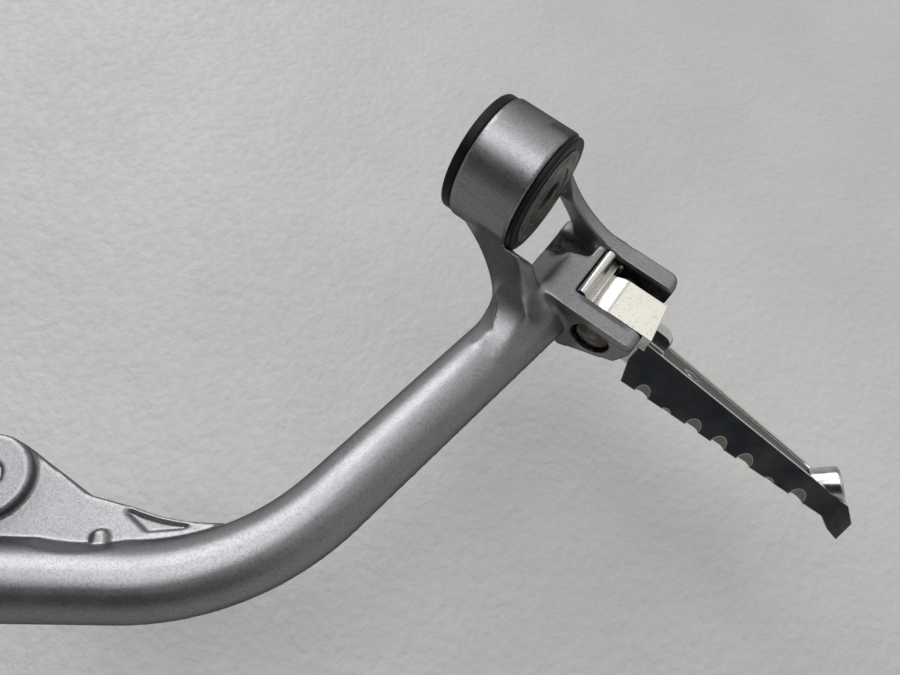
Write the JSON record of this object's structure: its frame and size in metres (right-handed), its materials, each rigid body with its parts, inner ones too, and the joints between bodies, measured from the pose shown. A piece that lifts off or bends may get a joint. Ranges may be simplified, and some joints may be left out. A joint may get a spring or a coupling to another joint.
{
  "type": "motorcycle footpeg",
  "caption": "Folding rider footpeg with toothed aluminium peg on a cast curved hanger with clevis, rubber-bushed barrel and bolt-on mounting plate.",
  "frame": {"origin": "middle of the two frame bolt holes on the mounting plate's flat back face", "axes": "+X outboard along the peg and the bush bore, +Y along the pivot pin from the near ear to the far ear, +Z out of the side shown in the picture, away from the mounting face"},
  "size_m": [0.2347, 0.2365, 0.08],
  "materials": {
    "silver_paint": "metallic satin",
    "black_rubber": "satin",
    "worn_steel": "worn",
    "pin_steel": "tarnished",
    "spring_steel": "bright",
    "bare_aluminium": "polished cast",
    "turned_steel": "turned"
  },
  "bodies": {
    "hanger_body": {"hanger": "silver_paint", "bush_rubber": "black_rubber", "bush_collar": "worn_steel", "pivot_pin": "pin_steel", "pin_washer": "worn_steel", "pin_clip": "spring_steel", "return_spring": "spring_steel"},
    "peg_body": {"footpeg": "bare_aluminium", "lean_feeler": "turned_steel"}
  },
  "joints": [
    {"name": "fold", "type": "hinge", "parent": "hanger_body", "child": "peg_body", "pos_m": [0.116, 0.1865, 0.006], "axis": [0, 1, 0], "range_deg": [0, 80], "stiffness_Nm_per_rad": 0.12, "springref_deg": -34.38, "deforming": ["return_spring"]}
  ]
}
